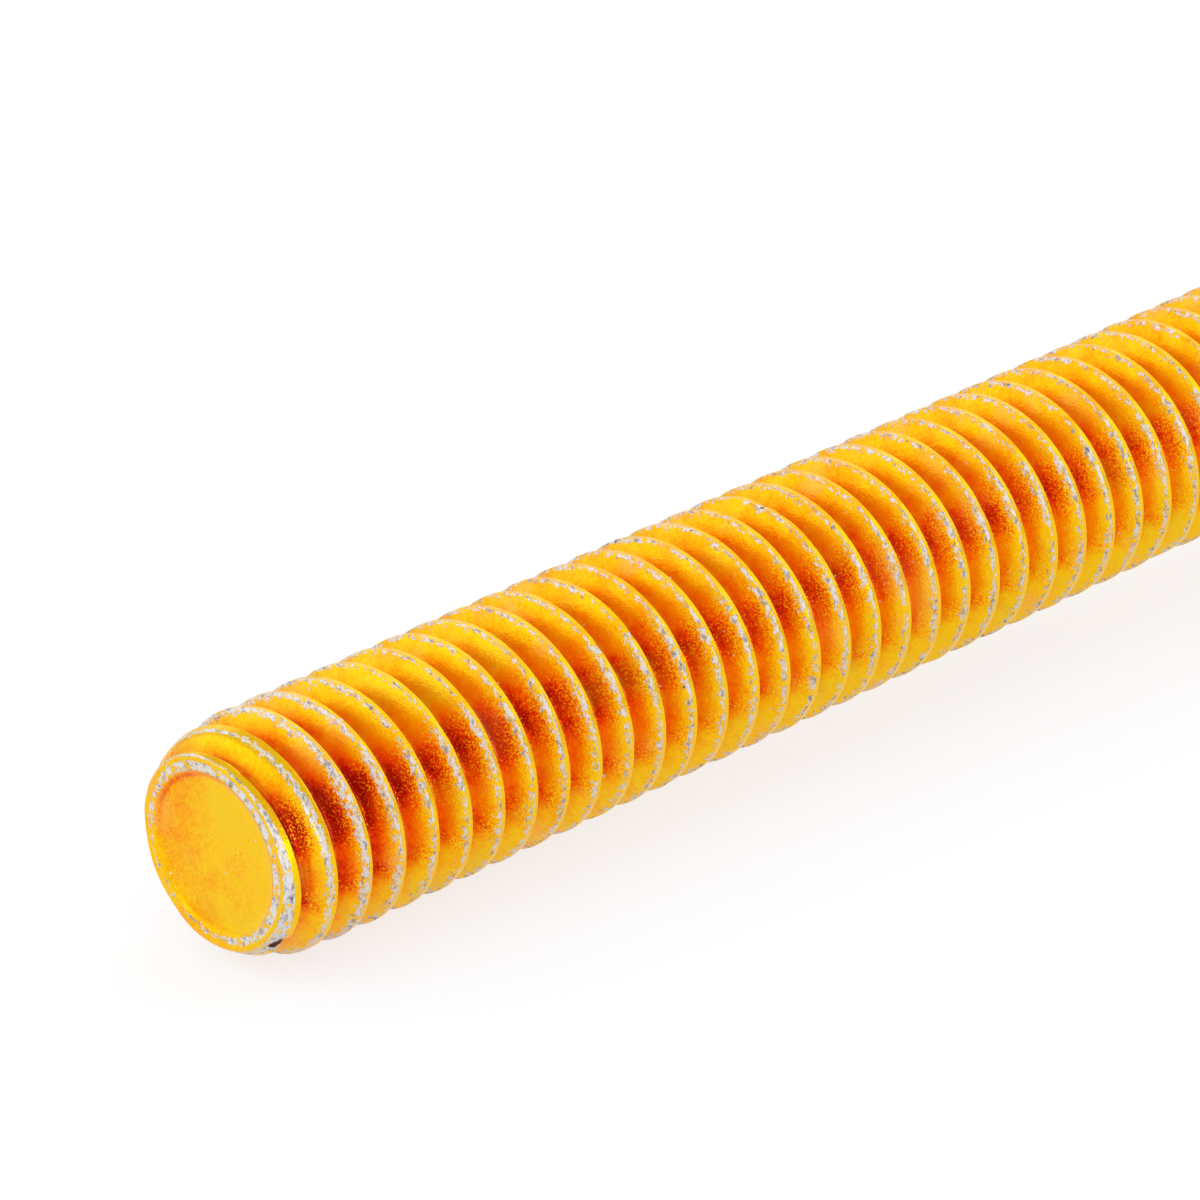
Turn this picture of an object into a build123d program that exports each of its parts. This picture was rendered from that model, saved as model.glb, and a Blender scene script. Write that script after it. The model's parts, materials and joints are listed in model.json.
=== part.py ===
from build123d import *
from math import atan2, cos, degrees, floor, radians, tan
import os

# A hex cap screw with a 5/16-18 right-hand thread cut almost up to its head, 2 1/2 inches long under
# the head. It is one solid piece of steel. All lengths are in millimetres.
# It is made upright on the Z axis, with the tip at Z 0 and the head at the top, and then laid down.

# Sizes that can be set by themselves
inch = 25.4
threads_per_inch = 18
major_radius = 3.90  # over the crests of the finished, plated thread
length_under_head = 2.5 * inch
across_flats = 12.70
head_height = 5.16  # with the washer face
washer_face_height = 0.40
washer_face_margin = 0.35  # how far the washer face stays inside the flats
crown_margin = 0.30  # and the circle round the top of the head
crown_angle = 30  # the slope that takes the corners off the top
crown_bulge = 0.04  # how far that slope bows outwards
under_head_fillet = 0.45
plain_neck = 2.0  # from the bearing face to the end of the groove
tip_round_length = 2.47  # the tip's rounded edge, along the axis
tip_round_depth = 0.77  # and towards the axis
tip_land_width = 0.38  # the flat ring round the end
dish_wall_width = 0.23  # the sloped wall inside that ring
dish_depth = 0.18
first_crest = 0.475  # height of the middle of the lowest crest, on the +X side

# The thread form: 60 degrees between the flanks, with flats at the crest and the root
half_flank_angle = 30
depth_per_pitch = 0.61343
crest_flat_per_pitch = 1 / 8
overshoot = 0.08  # how far the groove's cutting section stands out of the blank

thread_pitch = inch / threads_per_inch
thread_depth = depth_per_pitch * thread_pitch
flank_slope = tan(radians(half_flank_angle))
mouth_half_width = (1 - crest_flat_per_pitch) * thread_pitch / 2
root_half_width = mouth_half_width - thread_depth * flank_slope
outer_half_width = mouth_half_width + overshoot * flank_slope

# The groove starts clear of the tip, and over its last turn it runs out of the surface.
groove_start = first_crest - 1.5 * thread_pitch
groove_end = length_under_head - plain_neck - mouth_half_width
full_turns = floor((groove_end - groove_start) / thread_pitch) - 1
run_out_rise = thread_depth + overshoot

washer_face_top = length_under_head + washer_face_height
head_top = length_under_head + head_height


def turned(*outline):
    """The solid that an outline of radius and height makes when it turns about the Z axis."""
    return revolve(Plane.XZ * make_face(outline), Axis.Z)


def shank_blank():
    """The plain shank with its dished, rounded tip, the fillet under the head and the washer face."""
    land_radius = major_radius - tip_round_depth
    dish_mouth_radius = land_radius - tip_land_width
    dish_floor_radius = dish_mouth_radius - dish_wall_width
    washer_face_radius = across_flats / 2 - washer_face_margin
    fillet_start = (major_radius, length_under_head - under_head_fillet)
    fillet_end = (major_radius + under_head_fillet, length_under_head)

    end_face = Polyline(
        (0, dish_depth), (dish_floor_radius, dish_depth), (dish_mouth_radius, 0), (land_radius, 0)
    )
    tip_round = TangentArc((major_radius, tip_round_length), (land_radius, 0), tangent=(0, -1))
    side = Line((major_radius, tip_round_length), fillet_start)
    fillet_arc = TangentArc(fillet_start, fillet_end, tangent=(0, 1))
    washer_face = Polyline(
        fillet_end,
        (washer_face_radius, length_under_head),
        (washer_face_radius, washer_face_top),
        (0, washer_face_top),
        (0, dish_depth),
    )
    return turned(end_face, tip_round, side, fillet_arc, washer_face)


def hex_head():
    """The hexagon above the washer face, with its corners taken off at the top."""
    corner_radius = across_flats / 2 / cos(radians(30))
    crown_radius = across_flats / 2 - crown_margin
    crown_bottom = head_top - (corner_radius - crown_radius) * tan(radians(crown_angle))
    hexagon = RegularPolygon(across_flats / 2, 6, major_radius=False, rotation=30)
    prism = extrude(Pos(0, 0, washer_face_top) * hexagon, head_top - washer_face_top)
    outside = Polyline(
        (0, head_top), (0, washer_face_top), (corner_radius, washer_face_top), (corner_radius, crown_bottom)
    )
    crown = SagittaArc((corner_radius, crown_bottom), (crown_radius, head_top), crown_bulge)
    top = Line((crown_radius, head_top), (0, head_top))
    return prism & turned(outside, crown, top)


def groove_turn(height, rise):
    """One turn of the groove's cutting section, which starts on the +X side and moves out by a rise."""
    root_radius = major_radius - thread_depth
    outer_radius = major_radius + overshoot
    corners = [
        (root_radius, height - root_half_width),
        (root_radius, height + root_half_width),
        (outer_radius, height + outer_half_width),
        (outer_radius, height - outer_half_width),
    ]
    slope = degrees(atan2(rise, thread_pitch))
    slant_pitch = thread_pitch / cos(radians(slope))
    edges = [
        Edge.make_helix(slant_pitch, thread_pitch, radius, center=(0, 0, start), angle=slope)
        for radius, start in corners
    ]
    walls = [Face.make_surface_from_curves(edges[i - 1], edges[i]) for i in range(4)]
    ends = [Face(Wire.make_polygon([edge @ end for edge in edges])) for end in (0, 1)]
    return Solid(Shell(walls + ends))


def lay_down(upright, resting_outline):
    """Turns the head to +X and stands the part on one flat of its head and the thread beside its tip.
    The flat's edge at the washer face and the start of the full thread touch the ground."""
    drop = across_flats / 2 - major_radius
    lean = degrees(atan2(drop, washer_face_top - tip_round_length))
    turn = Rot(0, 90 - lean, 0)
    box = (turn * resting_outline).bounding_box()
    return Pos(-box.center().X, -box.center().Y, -box.min.Z) * turn * upright


blank = shank_blank() + hex_head()
groove = [groove_turn(groove_start + i * thread_pitch, 0) for i in range(full_turns)]
groove.append(groove_turn(groove_start + full_turns * thread_pitch, run_out_rise))
hex_cap_screw = lay_down(blank - groove, blank)
hex_cap_screw.label = "hex_cap_screw"

os.makedirs("parts", exist_ok=True)
export_step(hex_cap_screw, "parts/hex_cap_screw.step")
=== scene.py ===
import json
import math
import bmesh
import bpy
import numpy as np
from mathutils import Matrix, Vector


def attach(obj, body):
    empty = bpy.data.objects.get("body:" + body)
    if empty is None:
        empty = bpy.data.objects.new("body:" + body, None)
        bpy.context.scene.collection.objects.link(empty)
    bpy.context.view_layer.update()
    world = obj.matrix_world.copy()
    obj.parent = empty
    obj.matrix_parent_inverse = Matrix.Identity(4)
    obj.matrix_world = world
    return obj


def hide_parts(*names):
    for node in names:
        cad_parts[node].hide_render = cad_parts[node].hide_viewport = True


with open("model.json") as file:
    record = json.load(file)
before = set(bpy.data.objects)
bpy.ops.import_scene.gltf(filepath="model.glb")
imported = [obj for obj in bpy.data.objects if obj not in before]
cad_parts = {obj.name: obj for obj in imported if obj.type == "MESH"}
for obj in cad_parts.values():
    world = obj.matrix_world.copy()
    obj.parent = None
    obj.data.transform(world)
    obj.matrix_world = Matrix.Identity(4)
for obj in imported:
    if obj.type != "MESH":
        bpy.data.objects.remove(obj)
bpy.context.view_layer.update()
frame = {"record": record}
mm = 0.001
fullTurn = 2 * math.pi

# The mounts say where the screw lies: its tip, the way the shank runs and the thread's radius.
# Below, "along" is the way from the tip to the head, and "turn" is the share of a turn from the underside.
mounts = {mount["name"]: mount for mount in frame["record"]["mounts"]}
tipCentre = Vector(mounts["thread"]["pos_m"])
towardsHead = -Vector(mounts["thread"]["axis"]).normalized()
lengthUnderHead = (Vector(mounts["bearing_face"]["pos_m"]) - tipCentre).dot(towardsHead)
sideways = Vector((0, 1, 0))
screwPlace = Matrix((towardsHead, sideways, towardsHead.cross(sideways))).transposed().to_4x4()
screwPlace.translation = tipCentre

screw = {
    "majorRadius": mounts["thread"]["dims"]["r_mm"] * mm,
    "pitch": 25.4 / 18 * mm,
    "threadDepth": 0.866 * mm,
    "flankAngle": 30,
    "crestHalfWidth": 0.10 * mm,
    "crestRounding": 0.03 * mm,
    "rootRounding": 0.10 * mm,
    "firstCrest": 0.475 * mm,  # how far along the first crest is on the underside
    "plainNeck": 2.0 * mm,
    "tipRoundLength": 2.47 * mm,
    "tipRoundDepth": 0.77 * mm,
    "rimRounding": 0.10 * mm,
    "landWidth": 0.42 * mm,
    "landHollow": 0.035 * mm,
    "dishWallWidth": 0.42 * mm,
    "dishDepth": 0.17 * mm,
    "dishLipDrop": 0.02 * mm,
    "dishWallCurve": 2.4,
    "dishFloorBow": 0.2,  # the share of its depth that the dish's floor gains towards the middle
    "dishFloorSteps": (0.08, 0.2, 0.34, 0.48, 0.6, 0.7),
    "fillet": 0.45 * mm,
    "washerFaceHeight": 0.40 * mm,
    "washerFaceMargin": 0.35 * mm,
    "acrossFlats": 12.70 * mm,
    "headHeight": 5.158 * mm,
    "crownMargin": 0.30 * mm,
    "crownSlope": math.tan(math.radians(30)),
    "cornerBreak": 0.10 * mm,
    "edgeBreak": 0.06 * mm,
    "flatSteps": (0, 0.08, 0.3, 0.5, 0.7, 0.92, 1),
    "columns": 108,  # round the shank, and a multiple of 12 so that the head's corners fall on columns
    "mergeDistance": 0.0002 * mm,
    "sharpAngle": 42,
    "knocks": [  # crest number, turn, size and depth in millimetres; the first four make one fold
        (-0.89, 0.895, 0.36, 0.20),
        (-0.86, 0.887, 0.42, 0.22),
        (-0.83, 0.879, 0.42, 0.22),
        (-0.80, 0.871, 0.36, 0.20),
        (5, 0.26, 0.28, 0.09),
        (9, 0.62, 0.26, 0.10),
        (10, 0.62, 0.22, 0.07),
        (15, 0.51, 0.24, 0.08),
        (16, 0.52, 0.40, 0.13),
        (16, 0.55, 0.26, 0.08),
        (22, 0.70, 0.22, 0.06),
        (28, 0.13, 0.30, 0.09),
        (34, 0.42, 0.26, 0.08),
    ],
}

wear = {  # how much a place has rubbed: half of it is bare at about 0.67, and all of it a little above 1
    "rubbedTurn": 0.64,  # the side of the tip that has rubbed most
    "tipAllRound": 0.74,
    "tipOneSide": 0.26,
    "startAllRound": 0.78,
    "startOneSide": 0.26,
    "startReach": 0.56 * mm,  # the first crest is rubbed up to this far along
    "startFade": 0.16 * mm,  # and that fades over this length
    "startMost": 1.2,
    "startHalfWidth": 0.21 * mm,
    "startEdge": 0.05 * mm,
    "dishLip": 0.95,
    "dishLipFade": 3.0,
    "land": [  # millimetres out from the dish, share of the land's hollow, rubbed
        (0.05, 0.0, 1.25), (0.13, 0.6, 1.2), (0.21, 1.0, 1.1), (0.28, 0.6, 0.85),
    ],
    "landEdge": 0.42,
    "rim": [(25, 0.5), (50, 1.0), (70, 1.25)],  # degrees round the rim's edge, rubbed
    "knockDepth": 0.06 * mm,  # a knock this deep is all bare
    "cornerReach": 0.5 * mm,
    "neck": 0.1,
    "underHead": 0.2,
    "bearingFace": 0.45,
    "washerEdge": [0.8, 0.9, 0.5, 0.1],
    "hexagonFoot": [0.55, 0.6],
    "footCorner": 0.4,
    "hexagonEnds": 0.35,
    "hexagonCorner": 0.75,
    "crown": [(0, 0.7), (0.15, 0.3), (0.5, 0.1), (0.85, 0.3), (1, 0.6)],  # share of the way in, rubbed
    "crownCorner": 0.4,
    "top": [  # share of the crown's radius, rubbed
        (0.97, 0.5), (0.9, 0.3), (0.7, 0.2), (0.4, 0.2), (0.12, 0.2),
    ],
}


def addSockets(tree, direction, sockets):
    for name, kind in sockets:
        tree.interface.new_socket(name, in_out=direction, socket_type="NodeSocket" + kind)


def feed(tree, socket, value):
    # a number or colour is set on the socket, and another node's output is linked to it
    if isinstance(value, bpy.types.NodeSocket):
        tree.links.new(value, socket)
    else:
        socket.default_value = value


def calc(tree, operation, *values):
    node = tree.nodes.new("ShaderNodeMath")
    node.operation = operation
    for slot, value in enumerate(values):
        feed(tree, node.inputs[slot], value)
    return node.outputs[0]


def noise(tree, vector, scale, detail, roughness=0.5, seed=0.0):
    node = tree.nodes.new("ShaderNodeTexNoise")
    node.noise_dimensions = "4D"
    values = {"Vector": vector, "Scale": scale, "Detail": detail, "Roughness": roughness, "W": seed}
    for name, value in values.items():
        feed(tree, node.inputs[name], value)
    return node.outputs["Fac"]


# The blank is the screw before its thread is pressed: helical rows on the shank, rings on the tip and head.

def blankRadius(along):
    depth, length = screw["tipRoundDepth"], screw["tipRoundLength"]
    arcRadius = (length ** 2 + depth ** 2) / (2 * depth)
    before = np.clip(length - along, 0, None)
    return screw["majorRadius"] - arcRadius + np.sqrt(arcRadius ** 2 - before ** 2)


def rowPhases():
    # where the rows lie between one crest and the next, close together over the crest
    half = [0.0, 0.04, 0.065, 0.085, 0.12, 0.18, 0.26, 0.34, 0.41, 0.455]
    return half + [1 - place for place in reversed(half[1:])]


def helicalRows(turn, low, high):
    pitch = screw["pitch"]
    turns = math.ceil(high / pitch) + 4
    places = np.array([count - 2 + phase for count in range(turns) for phase in rowPhases()])
    along = screw["firstCrest"] + pitch * (places[:, None] + turn[None, :])
    along = np.clip(along, low, high)
    return blankRadius(along), along


def level(value, turn):
    return np.full(len(turn), value)


def hexRadii(turn):
    fromFlat = (turn * 6 + 0.5) % 1 - 0.5
    flats = screw["acrossFlats"] / 2 / np.cos(fromFlat * math.radians(60))
    return np.minimum(flats, screw["acrossFlats"] / 2 / math.cos(math.radians(30)) - screw["cornerBreak"])


def nearCorner(turn):
    # 1 on the head's corners, and 0 away from them
    fromCorner = np.abs((turn * 6) % 1 - 0.5) * screw["acrossFlats"] * math.tan(math.radians(30))
    return np.clip(1 - fromCorner / wear["cornerReach"], 0, 1)


def rubbedSide(turn):
    # the tip has rubbed most on one side, 1 there and -1 across from it
    return np.cos(fullTurn * (turn - wear["rubbedTurn"]))


def tipRings(turn):
    # from the middle of the dish out to the rim's rounded edge, each with how much it has rubbed
    s = screw
    landRadius = s["majorRadius"] - s["tipRoundDepth"]
    mouth = landRadius - s["landWidth"]
    floorRadii = [mouth * share for share in s["dishFloorSteps"]]
    wallRadii = np.linspace(mouth - s["dishWallWidth"], mouth, 10)
    rings = []
    for radius in floorRadii + list(wallRadii):
        downWall = min(max((mouth - radius) / s["dishWallWidth"], 0), 1)
        hollow = (1 - (1 - downWall) ** s["dishWallCurve"]) * (1 - s["dishFloorBow"])
        bow = s["dishFloorBow"] * (1 - (radius / mouth) ** 2)
        rubbed = max(0, wear["dishLip"] - wear["dishLipFade"] * downWall)
        rings.append((radius, s["dishLipDrop"] + s["dishDepth"] * (hollow + bow), rubbed))
    for step, hollow, rubbed in wear["land"]:
        rings.append((mouth + step * mm, s["landHollow"] * hollow, rubbed))
    rings.append((landRadius - s["rimRounding"], 0.0, wear["landEdge"]))
    outer = float(blankRadius(np.array(s["rimRounding"])))
    widening = 1.3  # the rim's edge is rounded a little further inwards than along
    for degrees, rubbed in wear["rim"]:
        angle = math.radians(degrees)
        rings.append((outer - s["rimRounding"] * widening * (1 - math.sin(angle)),
                      s["rimRounding"] * (1 - math.cos(angle)), rubbed))
    share = wear["tipAllRound"] + wear["tipOneSide"] * rubbedSide(turn)
    return [(level(radius, turn), level(along, turn), rubbed * share) for radius, along, rubbed in rings]


def headRings(turn):
    # from the fillet out over the washer face and the hexagon to the middle of the top
    s = screw
    edge = s["edgeBreak"]
    washerRadius = s["acrossFlats"] / 2 - s["washerFaceMargin"]
    washerTop = lengthUnderHead + s["washerFaceHeight"]
    headTop = lengthUnderHead + s["headHeight"]
    crownRadius = s["acrossFlats"] / 2 - s["crownMargin"]
    hexagon = hexRadii(turn)
    corner = nearCorner(turn)
    outline = []
    filletSteps = 6
    for step in range(1, filletSteps + 1):
        angle = math.radians(90 * step / filletSteps)
        outline.append((s["majorRadius"] + s["fillet"] * (1 - math.cos(angle)),
                        lengthUnderHead - s["fillet"] * (1 - math.sin(angle)), wear["underHead"]))
    middle = (s["majorRadius"] + s["fillet"] + washerRadius) / 2
    outline.append((middle, lengthUnderHead, wear["bearingFace"]))
    bend = 0.3 * edge  # how far a ring on a broken edge stands in from either side
    washerEdge = [(washerRadius - edge, lengthUnderHead), (washerRadius - bend, lengthUnderHead + bend),
                  (washerRadius, lengthUnderHead + edge), (washerRadius, washerTop)]
    outline += [(radius, along, rubbed) for (radius, along), rubbed in zip(washerEdge, wear["washerEdge"])]
    rings = [(level(radius, turn), level(along, turn), level(rubbed, turn))
             for radius, along, rubbed in outline]

    foot = level(washerTop, turn)
    crownFoot = headTop - (hexagon - crownRadius) * s["crownSlope"]
    footRubbed, footEdgeRubbed = wear["hexagonFoot"]
    rings.append((hexagon - edge, foot, footRubbed + wear["footCorner"] * corner))
    rings.append((hexagon - bend, foot + bend, footEdgeRubbed + wear["footCorner"] * corner))
    for share in s["flatSteps"]:
        low, high = foot + edge, crownFoot - edge
        atAnEnd = wear["hexagonEnds"] * (abs(share - 0.5) > 0.45)
        rings.append((hexagon, low + (high - low) * share, atAnEnd + wear["hexagonCorner"] * corner))
    inset = edge * 0.8
    for share, rubbed in wear["crown"]:
        rings.append((hexagon - inset + (crownRadius - hexagon + inset) * share,
                      crownFoot + (headTop - crownFoot) * share + s["crownSlope"] * inset * (1 - share),
                      rubbed + wear["crownCorner"] * (1 - share) * corner))
    for share, rubbed in wear["top"]:
        rings.append((level(crownRadius * share, turn), level(headTop, turn), level(rubbed, turn)))
    return rings


def knockDepths(along, turn):
    # how far the knocks push the surface in at each point
    depth = np.zeros(along.shape)
    for crest, knockTurn, size, deepest in screw["knocks"]:
        away = along - screw["firstCrest"] - screw["pitch"] * (crest + knockTurn)
        around = ((turn - knockTurn + 0.5) % 1 - 0.5) * fullTurn * screw["majorRadius"]
        far = (away ** 2 + around ** 2) / (size * mm / 2) ** 2
        depth = np.maximum(depth, deepest * mm * np.exp(-far))
    return depth


filmPoolsAndDishShade = {  # where the film ran thick as it dried under the head, and painted shade and painted light in the dish
    "arcTurn": 0.43,  # painted shade along the foot of the dish's wall, over an arc that has this middle
    "arcSlope": 1.8,
    "arcStart": 0.5,
    "arcInset": 0.14 * mm,
    "arcWidth": 0.10 * mm,
    "arcStrength": 0.46,
    "farTurn": 0.25,  # painted shade on the dish's far side
    "farStart": 0.05,
    "farFade": 0.5,
    "farStrength": 0.30,
    # painted light: how much lighter the dish's floor is
    "floorPaintedLight": 0.10,
    "floorEdge": 0.2 * mm,
    "dishReach": 1.6,  # only this many dish depths along, and this far out from its mouth
    "dishMargin": 0.1 * mm,
    "cornerReach": 0.5 * mm,  # in the two corners under the head
    "filletStrength": 0.30,
    "washerStrength": 0.34,
}


def poolAndDishShade(along, radius, turn):
    p = filmPoolsAndDishShade
    mouth = screw["majorRadius"] - screw["tipRoundDepth"] - screw["landWidth"]
    towardsFar = np.cos(fullTurn * (turn - p["farTurn"]))
    onArc = np.clip(p["arcSlope"] * np.cos(fullTurn * (turn - p["arcTurn"])) - p["arcStart"], 0, 1)
    wallFoot = np.exp(-((radius - mouth + p["arcInset"]) / p["arcWidth"]) ** 2) * onArc
    inside = np.clip((mouth - radius) / p["floorEdge"], 0, 1)
    farSide = np.clip((radius / mouth * towardsFar + p["farStart"]) / p["farFade"], 0, 1) * inside
    inDish = (along < screw["dishDepth"] * p["dishReach"]) * (radius < mouth + p["dishMargin"])
    # painted shade along the foot of the dish's wall and on its far side, and painted light on its floor
    pooledAndShaded = p["arcStrength"] * wallFoot + p["farStrength"] * farSide - p["floorPaintedLight"] * inside
    pooledAndShaded = pooledAndShaded * inDish
    washerRadius = screw["acrossFlats"] / 2 - screw["washerFaceMargin"]
    for cornerRadius, cornerAlong, strength in (
            (screw["majorRadius"], lengthUnderHead, p["filletStrength"]),
            (washerRadius, lengthUnderHead + screw["washerFaceHeight"], p["washerStrength"])):
        away = ((radius - cornerRadius) ** 2 + (along - cornerAlong) ** 2) / p["cornerReach"] ** 2
        pooledAndShaded = pooledAndShaded + strength * np.exp(-away)
    return pooledAndShaded


def ringFaces(first, count):
    columns = screw["columns"]
    return [(start + column, start + (column + 1) % columns,
             start + columns + (column + 1) % columns, start + columns + column)
            for start in range(first, first + (count - 1) * columns, columns) for column in range(columns)]


def makeBlank():
    columns = screw["columns"]
    turn = np.arange(columns) / columns
    threadLow = screw["rimRounding"]
    threadHigh = lengthUnderHead - screw["fillet"]
    radii, along = helicalRows(turn, threadLow, threadHigh)
    pitches = (along - screw["firstCrest"]) / screw["pitch"] - turn
    fromCrest = np.abs(pitches - np.round(pitches)) * screw["pitch"]
    startWear = np.clip((wear["startReach"] - along) / wear["startFade"], 0, wear["startMost"])
    startWear = startWear * np.clip((wear["startHalfWidth"] - fromCrest) / wear["startEdge"], 0, 1)
    startWear = startWear * (wear["startAllRound"] + wear["startOneSide"] * rubbedSide(turn))
    tip = tipRings(turn)
    tip.append((blankRadius(level(threadLow, turn)), level(threadLow, turn), tip[-1][2]))
    head = [(level(screw["majorRadius"], turn), level(threadHigh, turn), level(wear["neck"], turn))]
    head += headRings(turn)
    allRadii = np.concatenate([radii, [ring[0] for ring in tip], [ring[0] for ring in head]])
    allAlong = np.concatenate([along, [ring[1] for ring in tip], [ring[1] for ring in head]])
    rubbed = np.concatenate([startWear, [ring[2] for ring in tip], [ring[2] for ring in head]])
    angle = fullTurn * (turn - 0.25)
    points = np.stack([allAlong, allRadii * np.cos(angle), allRadii * np.sin(angle)], axis=-1)
    points = points.reshape(-1, 3)

    perTurn = len(rowPhases())
    rows = len(radii)
    faces = []
    for row in range(rows - 1):
        for column in range(columns):
            nextRow = row if column < columns - 1 else row + perTurn  # a row ends a pitch further on
            if nextRow + 1 < rows:
                a = row * columns + column
                b = nextRow * columns + (column + 1) % columns
                faces.append((a, b, b + columns, a + columns))
    tipStart = rows * columns
    headStart = tipStart + len(tip) * columns
    faces += ringFaces(tipStart, len(tip)) + ringFaces(headStart, len(head))
    tipMiddle = len(points)
    headMiddle = tipMiddle + 1
    points = np.vstack([points, [tip[0][1][0], 0, 0], [head[-1][1][0], 0, 0]])
    lastRing = headStart + (len(head) - 1) * columns
    for column in range(columns):
        after = (column + 1) % columns
        faces.append((tipMiddle, tipStart + after, tipStart + column))
        faces.append((headMiddle, lastRing + column, lastRing + after))

    mesh = bpy.data.meshes.new("hexCapScrew")
    mesh.from_pydata(points.tolist(), [], faces)
    onRim = allRadii > screw["majorRadius"] - screw["tipRoundDepth"]
    knock = (knockDepths(allAlong, turn[None, :]) * onRim).ravel()
    rubbed = np.maximum(rubbed.ravel(), knock / wear["knockDepth"])
    pooledAndShaded = poolAndDishShade(allAlong, allRadii, turn).ravel()
    for name, values in (("rubbed", rubbed), ("knock", knock), ("pooledAndShaded", pooledAndShaded)):
        values = np.append(values, [0, 0]).astype(np.float32)
        mesh.attributes.new(name, "FLOAT", "POINT").data.foreach_set("value", values)
    work = bmesh.new()
    work.from_mesh(mesh)
    bmesh.ops.remove_doubles(work, verts=work.verts, dist=screw["mergeDistance"])
    bmesh.ops.recalc_face_normals(work, faces=work.faces)
    work.to_mesh(mesh)
    work.free()
    return mesh


# The thread: a 60 degree groove pressed into the blank, and what the finish needs to know at each point.

threadInputs = {
    "Pitch": screw["pitch"],
    "Crest Radius": screw["majorRadius"],
    "Depth": screw["threadDepth"],
    "Least Depth": 0.12 * mm,
    "Flank Steepness": 1 / math.tan(math.radians(screw["flankAngle"])),
    "Crest Half Width": screw["crestHalfWidth"],
    "Crest Rounding": screw["crestRounding"],
    "Root Rounding": screw["rootRounding"],
    "First Crest": screw["firstCrest"],
    "Run Out": lengthUnderHead - screw["plainNeck"],
    "Shank End": lengthUnderHead - screw["fillet"],
    "Face End": screw["rimRounding"] * 0.999,
    "Ripple": 0.020 * mm,
    "Ripple Scale": 1100.0,
    "Dent": 0.05 * mm,
    "Dent Scale": 520.0,
    "Dent Threshold": 0.62,
    "Dent Growth": 6.0,
    "Lift Share": 1.15,
    "Tip Unevenness": 0.05 * mm,
    "Tip Reach": 0.35 * mm,
    "Seed": 3.0,
}


def storeNumber(tree, geometry, name, value):
    node = tree.nodes.new("GeometryNodeStoreNamedAttribute")
    node.data_type = "FLOAT"
    node.domain = "POINT"
    node.inputs["Name"].default_value = name
    tree.links.new(geometry, node.inputs["Geometry"])
    tree.links.new(value, node.inputs["Value"])
    return node.outputs["Geometry"]


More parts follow.
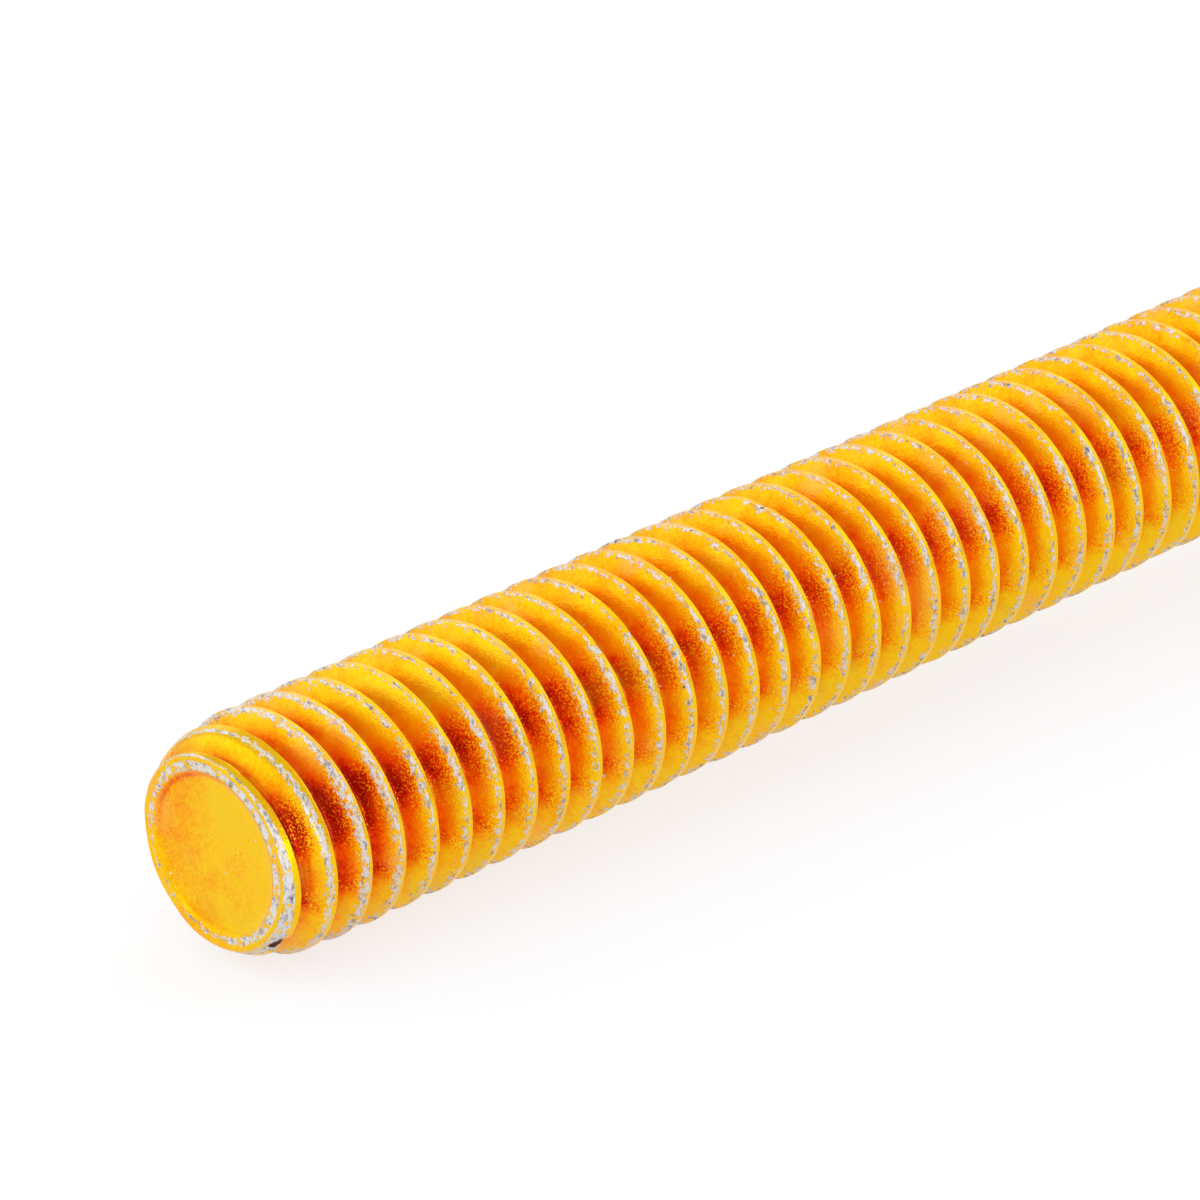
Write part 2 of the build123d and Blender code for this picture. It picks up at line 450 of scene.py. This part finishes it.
def threadTree():
    tree = bpy.data.node_groups.new("pressThread", "GeometryNodeTree")
    addSockets(tree, "INPUT", [("Geometry", "Geometry")] + [(name, "Float") for name in threadInputs])
    addSockets(tree, "INPUT", [("Finish", "Material")])
    addSockets(tree, "OUTPUT", [("Geometry", "Geometry")])
    given = tree.nodes.new("NodeGroupInput").outputs
    position = tree.nodes.new("GeometryNodeInputPosition").outputs[0]
    split = tree.nodes.new("ShaderNodeSeparateXYZ")
    tree.links.new(position, split.inputs[0])
    along, y, z = split.outputs

    def c(operation, *values):
        return calc(tree, operation, *values)

    def held(value):
        return c("MAXIMUM", c("MINIMUM", value, 1.0), 0.0)

    radius = c("SQRT", c("ADD", c("MULTIPLY", y, y), c("MULTIPLY", z, z)))
    turn = c("FRACT", c("ADD", c("DIVIDE", c("ARCTAN2", z, y), fullTurn), 1.25))
    pitches = c("SUBTRACT", c("DIVIDE", c("SUBTRACT", along, given["First Crest"]), given["Pitch"]), turn)
    pastCrest = c("MULTIPLY", c("SUBTRACT", pitches, c("ROUND", pitches)), given["Pitch"])
    fromCrest = c("ABSOLUTE", pastCrest)

    # the run-out: the groove lifts out of the shank over its last turn
    grooveTurns = c("ADD", c("ROUND", c("ADD", pitches, 1.5)), turn)
    threadLength = c("SUBTRACT", given["Run Out"], given["First Crest"])
    lastTurn = c("FLOOR", c("DIVIDE", threadLength, given["Pitch"]))
    fullLift = c("MULTIPLY", given["Depth"], given["Lift Share"])
    lift = c("MULTIPLY", held(c("SUBTRACT", grooveTurns, lastTurn)), fullLift)

    below = c("MULTIPLY", c("SUBTRACT", fromCrest, given["Crest Half Width"]), given["Flank Steepness"])
    flank = c("SUBTRACT", given["Crest Radius"], below)
    ridge = c("SMOOTH_MIN", flank, given["Crest Radius"], given["Crest Rounding"])
    root = c("SUBTRACT", given["Crest Radius"], given["Depth"])
    profile = c("ADD", c("SMOOTH_MAX", ridge, root, given["Root Rounding"]), lift)
    onShank = c("LESS_THAN", along, given["Shank End"])
    pressed = c("MINIMUM", radius, c("ADD", profile, c("SUBTRACT", 1.0, onShank)))
    offFace = c("MULTIPLY", c("GREATER_THAN", along, given["Face End"]), c("GREATER_THAN", radius, root))
    threaded = c("MULTIPLY", offFace, c("LESS_THAN", lift, given["Depth"]))
    plain = c("SUBTRACT", 1.0, c("MULTIPLY", onShank, threaded))
    depthHere = c("MINIMUM", given["Depth"], c("ADD", c("SUBTRACT", radius, root), given["Least Depth"]))
    height = held(c("SUBTRACT", 1.0, c("DIVIDE", c("SUBTRACT", radius, pressed), depthHere)))
    height = c("MAXIMUM", height, plain)

    # small ripples all over, dents along the crests, and the knocks
    ripple = noise(tree, position, given["Ripple Scale"], 2.0, 0.5, given["Seed"])
    ripple = c("MULTIPLY", c("SUBTRACT", ripple, 0.5), c("MULTIPLY", given["Ripple"], onShank))
    dent = noise(tree, position, given["Dent Scale"], 1.0, 0.5, c("ADD", given["Seed"], 7.0))
    dent = c("MAXIMUM", c("SUBTRACT", dent, given["Dent Threshold"]), 0.0)
    dent = c("MULTIPLY", c("MULTIPLY", dent, given["Dent Growth"]),
             c("MULTIPLY", given["Dent"], c("MULTIPLY", height, onShank)))
    knock = tree.nodes.new("GeometryNodeInputNamedAttribute")
    knock.data_type = "FLOAT"
    knock.inputs["Name"].default_value = "knock"
    dent = c("ADD", dent, c("MULTIPLY", knock.outputs["Attribute"], c("MULTIPLY", height, onShank)))
    factor = c("DIVIDE", c("SUBTRACT", c("ADD", pressed, ripple), dent), c("MAXIMUM", radius, 1e-9))

    # the tip's face isn't quite flat
    nearTip = held(c("SUBTRACT", 1.0, c("DIVIDE", along, given["Tip Reach"])))
    uneven = noise(tree, position, given["Ripple Scale"], 2.0, 0.5, c("ADD", given["Seed"], 2.0))
    uneven = c("MULTIPLY", c("MULTIPLY", uneven, nearTip), given["Tip Unevenness"])
    join = tree.nodes.new("ShaderNodeCombineXYZ")
    tree.links.new(c("ADD", along, uneven), join.inputs[0])
    tree.links.new(c("MULTIPLY", y, factor), join.inputs[1])
    tree.links.new(c("MULTIPLY", z, factor), join.inputs[2])

    # height on the flank from 0 in the root to 1, millimetres past the crest, and where there is a thread
    geometry = storeNumber(tree, given["Geometry"], "crestHeight", height)
    geometry = storeNumber(tree, geometry, "pastCrest", c("DIVIDE", pastCrest, mm))
    geometry = storeNumber(tree, geometry, "threaded", c("SUBTRACT", 1.0, plain))
    place = tree.nodes.new("GeometryNodeSetPosition")
    tree.links.new(geometry, place.inputs["Geometry"])
    tree.links.new(join.outputs[0], place.inputs["Position"])
    realize = tree.nodes.new("GeometryNodeRealizeInstances")
    tree.links.new(place.outputs[0], realize.inputs[0])
    finish = tree.nodes.new("GeometryNodeSetMaterial")
    tree.links.new(realize.outputs[0], finish.inputs["Geometry"])
    tree.links.new(given["Finish"], finish.inputs["Material"])
    tree.links.new(finish.outputs[0], tree.nodes.new("NodeGroupOutput").inputs[0])
    return tree


def threadedScrew(finish):
    blank = bpy.data.objects.new("threadBlank", makeBlank())
    bpy.context.scene.collection.objects.link(blank)
    press = blank.modifiers.new("pressThread", "NODES")
    press.node_group = threadTree()
    sockets = {item.name: item.identifier for item in press.node_group.interface.items_tree
               if item.in_out == "INPUT"}
    for name, value in threadInputs.items():
        press[sockets[name]] = value
    press[sockets["Finish"]] = finish
    bpy.context.view_layer.update()
    evaluated = blank.evaluated_get(bpy.context.evaluated_depsgraph_get())
    mesh = bpy.data.meshes.new_from_object(evaluated)
    bpy.data.objects.remove(blank)
    mesh.transform(screwPlace)
    mesh.polygons.foreach_set("use_smooth", [True] * len(mesh.polygons))
    mesh.set_sharp_from_angle(angle=math.radians(screw["sharpAngle"]))
    piece = bpy.data.objects.new("hexCapScrew", mesh)
    bpy.context.scene.collection.objects.link(piece)
    return piece


# The finish: a yellow chromate film over zinc, rubbed down to the zinc on every edge, with painted shade,
# painted light and painted glints in the film's colour.

yellowZincAndPaintedLight = {
    "film": [  # from the roots, where the film is thickest, up to the crests
        (0.00, (0.50, 0.016, 0.001, 1)),
        (0.18, (0.82, 0.070, 0.001, 1)),
        (0.36, (0.96, 0.190, 0.001, 1)),
        (0.56, (1.00, 0.340, 0.001, 1)),
        (0.80, (1.00, 0.480, 0.002, 1)),
        (1.00, (1.00, 0.600, 0.006, 1)),
    ],
    "rootFilm": 0.44,  # where the roots stand among those colours
    "crestFilm": 0.44,  # and how much further up the crests stand
    "filmAndShadeRound": {  # degrees above level on either side, and how much lighter the film's colour is there: partly film thickness, partly painted shade along the sides and a painted reflection edge low down
        -90: 0.12, -27: 0.14, -22: -0.10, -16: -0.28, -8: -0.10, 3: -0.04, 14: -0.28, 30: -0.46, 40: -0.34,
        52: 0.04, 62: 0.17, 75: 0.12, 90: 0.06,
    },
    "wandering": 0.14,  # how far those places drift, as a share of half a turn
    "roundOnCrests": 0.2,  # how much of that change the crests show
    "clouding": 0.75,
    "mottling": 0.55,
    "headClouding": 0.85,
    "headGrain": 0.60,
    "specksAndGlints": 1.8,
    "darkSpecks": 0.6,
    "speckLift": 0.14,
    "speckLeast": 0.05,
    "pinkFilm": (1.00, 0.40, 0.14, 1),
    "greenFilm": (0.78, 0.62, 0.03, 1),
    "tint": 0.28,  # how far the film turns pink or green in places
    "firstGrooveShade": 0.32,  # painted shade: how much darker the first grooves are
    "glintStrength": 0.34,  # painted glint: how much lighter next to the crests, low on either side
    "glintDegrees": 6,
    "glintNearTip": 0.35,
    "darkerAbove": 0.13,  # away from the tip, how much darker the upper side gets
    "lighterBelow": 0.11,  # and how much lighter the lower side gets
    "bareZinc": (0.87, 0.85, 0.84, 1),
    "greyZinc": (0.42, 0.41, 0.44, 1),
    "darkZinc": (0.10, 0.08, 0.06, 1),
    # painted shade in the knocks' creases
    "creviceShade": (0.10, 0.018, 0.004, 1),
    "creviceRagged": 0.06 * mm,
    "wornMiddle": -0.115,  # millimetres past the crest, so it lies on the side towards the tip
    "wornHalfWidth": 0.037,
    "wornNearTip": 0.050,  # wider by this on the first crests
    "wornMore": 0.105,  # and by this where the sides are darker, from thicker film and painted shade
    "wornRagged": 0.46,
    "wornPatchy": 0.26,
    "scrapPatchy": 0.5,
    "edgeRagged": 1.9,
    "streakSqueeze": 2.4,
    "grain": {  # each pattern's fineness, detail, roughness and seed
        "cloud": (1200.0, 4.0, 0.55, 1.0),
        "mottle": (5600.0, 3.0, 0.6, 2.0),
        "grit": (13500.0, 3.0, 0.7, 3.0),
        "wander": (620.0, 2.0, 0.5, 8.0),
        "headCloud": (340.0, 2.0, 0.5, 10.0),
        "tint": (460.0, 2.0, 0.5, 11.0),
        "ragged": (5200.0, 3.0, 0.72, 4.0),
        "patches": (1700.0, 2.0, 0.5, 5.0),
        "scraps": (4400.0, 4.0, 0.72, 9.0),
        "chips": (3900.0, 2.0, 0.4, 6.0),
        "fleck": (3800.0, 4.0, 0.68, 7.0),
    },
    "fades": {  # the value at which each one starts, and the value at which it is all there
        "nearTip": (6.5 * mm, 2.5 * mm),
        "inThread": (1.0, 0.62),
        "glintBand": (math.radians(11), math.radians(3)),
        "glintFlank": (0.45, 0.8),
        "glintAlong": (4 * mm, 30 * mm),
        "upSide": (math.radians(42), math.radians(56)),
        "belowAlong": (8 * mm, 26 * mm),
        "overAlong": (2 * mm, 20 * mm),
        "specksAndGlints": (0.60, 0.64),
        "darkSpecks": (0.43, 0.37),
        "pink": (0.54, 0.70),
        "green": (0.46, 0.30),
        "wornBand": (0.0, 0.02),
        "wornHeight": (0.55, 0.65),
        "wornEdge": (0.62, 0.72),
        "scraps": (0.54, 0.56),
        "chips": (0.73, 0.75),
        "greyZinc": (0.50, 0.60),
        "darkZinc": (0.64, 0.68),
        "creviceShade": (0.095 * mm, 0.115 * mm),
    },
    "filmSpecular": 0.2,
    "filmRoughness": 0.26,
    "bareRoughness": 0.48,
    "filmMetallic": 0.85,
    "bareMetallic": 0.45,
    "bumpStrength": 0.5,
    "bumpHeight": 0.03 * mm,
    "gritRelief": 0.5,
    "mottleRelief": 0.8,
    "wornDrop": 0.3,
}


def ramp(tree, value, low, high):
    node = tree.nodes.new("ShaderNodeMapRange")
    node.interpolation_type = "SMOOTHSTEP"
    feed(tree, node.inputs["Value"], value)
    feed(tree, node.inputs["From Min"], low)
    feed(tree, node.inputs["From Max"], high)
    return node.outputs["Result"]


def mixColour(tree, share, first, second):
    node = tree.nodes.new("ShaderNodeMix")
    node.data_type = "RGBA"
    for slot, value in ((0, share), (6, first), (7, second)):
        feed(tree, node.inputs[slot], value)
    return node.outputs[2]


def colourBand(tree, value, stops):
    node = tree.nodes.new("ShaderNodeValToRGB")
    tree.links.new(value, node.inputs[0])
    band = node.color_ramp
    while len(band.elements) < len(stops):
        band.elements.new(0.5)
    for element, (place, colour) in zip(band.elements, stops):
        element.position = place
        element.color = colour
    return node.outputs[0]


def attribute(tree, name):
    node = tree.nodes.new("ShaderNodeAttribute")
    node.attribute_name = name
    return node.outputs["Fac"]


def yellowZincAndPaintedLightFinish():
    look = yellowZincAndPaintedLight
    material = bpy.data.materials.new("yellowZincAndPaintedLight")
    material.use_nodes = True
    tree = material.node_tree
    shader = tree.nodes["Principled BSDF"]
    place = tree.nodes.new("ShaderNodeTexCoord").outputs["Object"]

    def c(operation, *values):
        return calc(tree, operation, *values)

    def swing(value, size):
        return c("MULTIPLY", c("SUBTRACT", value, 0.5), size)

    def grain(name, vector):
        return noise(tree, vector, *look["grain"][name])

    def fade(value, name):
        return ramp(tree, value, *look["fades"][name])

    height, past, threaded = (attribute(tree, name) for name in ("crestHeight", "pastCrest", "threaded"))
    rubbed, pooledAndShaded, knock = (attribute(tree, name) for name in ("rubbed", "pooledAndShaded", "knock"))
    onShank = c("GREATER_THAN", threaded, 0.5)
    offShank = c("SUBTRACT", 1.0, onShank)

    # how far along a point is, and how far round from level
    split = tree.nodes.new("ShaderNodeSeparateXYZ")
    tree.links.new(place, split.inputs[0])
    fromTip = c("SUBTRACT", split.outputs[0], tipCentre.x)
    above = c("SUBTRACT", c("SUBTRACT", split.outputs[2], tipCentre.z),
              c("MULTIPLY", fromTip, towardsHead.z / towardsHead.x))
    angle = c("ARCTAN2", above, c("ABSOLUTE", split.outputs[1]))
    along = c("DIVIDE", fromTip, towardsHead.x)
    nearTip = fade(along, "nearTip")

    # wear runs in streaks along the crests, so its pattern is squeezed the other way
    squeeze = tree.nodes.new("ShaderNodeVectorMath")
    squeeze.operation = "MULTIPLY"
    tree.links.new(place, squeeze.inputs[0])
    squeeze.inputs[1].default_value = (look["streakSqueeze"], 1, 1)
    streaky = squeeze.outputs["Vector"]

    # the film's shade starts from the height on the flank, with soft clouds and mottling
    cloud = grain("cloud", place)
    mottle = grain("mottle", place)
    grit = grain("grit", place)
    shade = c("ADD", c("MULTIPLY", height, look["crestFilm"]), look["rootFilm"])
    shade = c("ADD", shade, swing(cloud, look["clouding"]))
    shade = c("ADD", shade, swing(mottle, look["mottling"]))

    # it is darker and redder along the sides, most of all in the grooves: partly a thicker film, partly
    # painted shade
    wander = swing(grain("wander", place), look["wandering"])
    roundPlace = c("ADD", c("ADD", c("DIVIDE", angle, math.pi), 0.5), wander)
    stops = [(degrees / 180 + 0.5, (0.5 + thin, 0.5 + thin, 0.5 + thin, 1))
             for degrees, thin in look["filmAndShadeRound"].items()]
    roundFilmAndShade = c("SUBTRACT", colourBand(tree, roundPlace, stops), 0.5)
    sideFilmAndShade = c("MULTIPLY", c("MAXIMUM", c("MULTIPLY", roundFilmAndShade, -1.0), 0.0), onShank)
    inThread = c("MULTIPLY", onShank, fade(height, "inThread"))
    shown = c("ADD", look["roundOnCrests"], c("MULTIPLY", inThread, 1 - look["roundOnCrests"]))
    roundFilmAndShade = c("MULTIPLY", c("MULTIPLY", roundFilmAndShade, shown), onShank)
    # the side tone, and the pooled film with the dish's painted shade and painted light
    shade = c("SUBTRACT", c("ADD", shade, roundFilmAndShade), pooledAndShaded)
    # painted shade: the first grooves are darker near the tip
    deep = c("MULTIPLY", c("SUBTRACT", 1.0, height), c("MULTIPLY", nearTip, look["firstGrooveShade"]))
    shade = c("SUBTRACT", shade, c("MULTIPLY", deep, onShank))

    # the head and the tip's face have clouds of their own
    headCloud = swing(grain("headCloud", place), look["headClouding"])
    plain = c("SUBTRACT", swing(grit, look["headGrain"]), headCloud)
    shade = c("ADD", shade, c("MULTIPLY", plain, offShank))

    # it changes slowly along the shank: a painted glint low down by the crests, and away from the tip
    # darker on top and lighter below
    fromGlint = c("ABSOLUTE", c("SUBTRACT", angle, math.radians(look["glintDegrees"])))
    flankGlint = c("MULTIPLY", fade(height, "glintFlank"), look["glintStrength"])
    paintedGlint = c("MULTIPLY", fade(fromGlint, "glintBand"), flankGlint)
    growth = c("MULTIPLY", fade(along, "glintAlong"), 1 - look["glintNearTip"])
    paintedGlint = c("MULTIPLY", paintedGlint, c("ADD", look["glintNearTip"], growth))
    upSide = fade(angle, "upSide")
    below = c("MULTIPLY", c("SUBTRACT", 1.0, upSide), fade(along, "belowAlong"))
    below = c("MULTIPLY", below, look["lighterBelow"])
    over = c("MULTIPLY", c("MULTIPLY", upSide, fade(along, "overAlong")), look["darkerAbove"])
    drift = c("ADD", paintedGlint, c("SUBTRACT", below, over))
    shade = c("ADD", shade, c("MULTIPLY", drift, onShank))

    # bright and dark specks, the bright ones partly painted glints, mostly on the darker sides; and a hint
    # of pink or green in places
    specksAndGlints = fade(c("ADD", grit, c("MULTIPLY", height, look["speckLift"])), "specksAndGlints")
    specksAndGlints = c("MULTIPLY", specksAndGlints, look["specksAndGlints"])
    darkSpecks = c("MULTIPLY", fade(grit, "darkSpecks"), look["darkSpecks"])
    specksAndGlints = c("MULTIPLY", c("SUBTRACT", specksAndGlints, darkSpecks), c("ADD", sideFilmAndShade, look["speckLeast"]))
    shade = c("ADD", shade, specksAndGlints)
    film = colourBand(tree, shade, look["film"])
    tint = grain("tint", place)
    for name in ("pink", "green"):
        film = mixColour(tree, c("MULTIPLY", fade(tint, name), look["tint"]), film, look[name + "Film"])

    # the worn band along each crest: its edge is ragged, and it thins out in places
    ragged = grain("ragged", streaky)
    patches = grain("patches", place)
    reach = c("ADD", c("MULTIPLY", sideFilmAndShade, look["wornMore"]), look["wornHalfWidth"])
    reach = c("ADD", reach, c("MULTIPLY", nearTip, look["wornNearTip"]))
    reach = c("ADD", reach, c("ADD", swing(ragged, look["wornRagged"]), swing(patches, look["wornPatchy"])))
    fromMiddle = c("ABSOLUTE", c("SUBTRACT", past, look["wornMiddle"]))
    crestWorn = c("MULTIPLY", fade(c("SUBTRACT", reach, fromMiddle), "wornBand"), onShank)
    crestWorn = c("MULTIPLY", crestWorn, fade(height, "wornHeight"))
    edgeWorn = fade(c("ADD", rubbed, swing(ragged, look["edgeRagged"])), "wornEdge")

    # scraps of film are left on what is worn, and small chips are missing elsewhere
    scraps = fade(c("ADD", grain("scraps", streaky), swing(patches, look["scrapPatchy"])), "scraps")
    worn = c("MULTIPLY", c("MAXIMUM", crestWorn, edgeWorn), c("SUBTRACT", 1.0, scraps))
    worn = c("MAXIMUM", worn, fade(grain("chips", place), "chips"))

    fleck = grain("fleck", streaky)
    bare = look["bareZinc"]
    for name in ("greyZinc", "darkZinc"):
        bare = mixColour(tree, fade(fleck, name), bare, look[name])
    # painted shade: dark colour in the deepest part of each knock
    creviceShade = fade(c("ADD", knock, swing(ragged, look["creviceRagged"])), "creviceShade")
    colour = mixColour(tree, creviceShade, mixColour(tree, worn, film, bare), look["creviceShade"])
    tree.links.new(colour, shader.inputs["Base Color"])
    shader.inputs["Specular IOR Level"].default_value = look["filmSpecular"]
    for name in ("Metallic", "Roughness"):
        coated, zinc = look["film" + name], look["bare" + name]
        tree.links.new(c("ADD", coated, c("MULTIPLY", worn, zinc - coated)), shader.inputs[name])

    relief = c("ADD", c("MULTIPLY", grit, look["gritRelief"]), c("MULTIPLY", mottle, look["mottleRelief"]))
    relief = c("SUBTRACT", relief, c("MULTIPLY", worn, c("ADD", look["wornDrop"], ragged)))
    bump = tree.nodes.new("ShaderNodeBump")
    bump.inputs["Strength"].default_value = look["bumpStrength"]
    bump.inputs["Distance"].default_value = look["bumpHeight"]
    tree.links.new(relief, bump.inputs["Height"])
    tree.links.new(bump.outputs["Normal"], shader.inputs["Normal"])
    return material


# The studio: a pale floor that looks white, soft boxes round the screw and an even white surround.

studio = {
    "lens": 240.0,
    "heading": 45.0,
    "elevation": 22.8,
    "tipOffset": (-11.81 * mm, -7.74 * mm, 243.4 * mm),  # how far right, up and ahead of the camera
    "surround": 0.74,
    "floorColour": (0.30, 0.30, 0.30, 1),
    "floorGlow": (0.72, 0.735, 0.75, 1),
    "floorSize": 3.0,
    "floorRoughness": 0.9,
    "lamps": {  # compass and height angle in degrees; distance, width and height in metres; brightness
        "backLeftSoftbox": (140, 24, 0.55, 0.70, 0.30, 0.70),
        "backRightSoftbox": (50, 28, 0.55, 0.60, 0.30, 0.55),
        "overheadSoftbox": (2, 50, 0.55, 0.60, 0.34, 0.50),
        "leftSoftbox": (195, 22, 0.55, 0.60, 0.25, 0.28),
        "sideSoftbox": (-42, 30, 0.55, 0.40, 0.30, 0.5),
        "lowGlint": (226, 4, 0.30, 0.14, 0.04, 7.0),
    },
}


def studioCamera():
    camera = bpy.data.objects.new("camera", bpy.data.cameras.new("camera"))
    bpy.context.scene.collection.objects.link(camera)
    heading, elevation = math.radians(studio["heading"]), math.radians(studio["elevation"])
    ahead = Vector((math.cos(elevation) * math.cos(heading), math.cos(elevation) * math.sin(heading),
                    -math.sin(elevation)))
    right = ahead.cross(Vector((0, 0, 1))).normalized()
    up = right.cross(ahead)
    offset = studio["tipOffset"]
    place = Matrix((right, up, -ahead)).transposed().to_4x4()
    place.translation = tipCentre - right * offset[0] - up * offset[1] - ahead * offset[2]
    camera.matrix_world = place
    camera.data.lens = studio["lens"]
    camera.data.clip_start = 0.01
    bpy.context.scene.camera = camera


def studioFloor():
    size = studio["floorSize"]
    mesh = bpy.data.meshes.new("floor")
    corners = [(-size, -size, 0), (size, -size, 0), (size, size, 0), (-size, size, 0)]
    mesh.from_pydata(corners, [], [(0, 1, 2, 3)])
    floor = bpy.data.objects.new("floor", mesh)
    bpy.context.scene.collection.objects.link(floor)
    material = bpy.data.materials.new("floorWhite")
    material.use_nodes = True
    tree = material.node_tree
    shader = tree.nodes["Principled BSDF"]
    shader.inputs["Base Color"].default_value = studio["floorColour"]
    shader.inputs["Roughness"].default_value = studio["floorRoughness"]
    shader.inputs["Emission Color"].default_value = studio["floorGlow"]
    path = tree.nodes.new("ShaderNodeLightPath")
    seen = calc(tree, "MAXIMUM", path.outputs["Is Camera Ray"], path.outputs["Is Glossy Ray"])
    seen = calc(tree, "MAXIMUM", seen, path.outputs["Is Transmission Ray"])
    tree.links.new(seen, shader.inputs["Emission Strength"])
    mesh.materials.append(material)


def softbox(name, compass, height, distance, wide, tall, brightness):
    lamp = bpy.data.objects.new(name, bpy.data.lights.new(name, "AREA"))
    bpy.context.scene.collection.objects.link(lamp)
    lamp.data.shape = "RECTANGLE"
    lamp.data.size, lamp.data.size_y = wide, tall
    lamp.data.energy = brightness * math.pi * wide * tall
    compass, height = math.radians(compass), math.radians(height)
    outwards = math.cos(height)
    towards = Vector((outwards * math.cos(compass), outwards * math.sin(compass), math.sin(height)))
    lamp.location = towards * distance
    lamp.rotation_euler = towards.to_track_quat("Z", "Y").to_euler()


def studioLight():
    scene = bpy.context.scene
    scene.world = bpy.data.worlds.new("studio")
    scene.world.use_nodes = True
    background = scene.world.node_tree.nodes["Background"]
    background.inputs["Color"].default_value = (1, 1, 1, 1)
    background.inputs["Strength"].default_value = studio["surround"]
    for name, numbers in studio["lamps"].items():
        softbox(name, *numbers)


studioCamera()
studioFloor()
studioLight()
print("stage: studio ready")

body = threadedScrew(yellowZincAndPaintedLightFinish())
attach(body, "root")
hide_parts("hex_cap_screw")
print("stage: screw ready,", sum(len(face.vertices) - 2 for face in body.data.polygons), "triangles")

bpy.context.scene.view_settings.view_transform = "Standard"
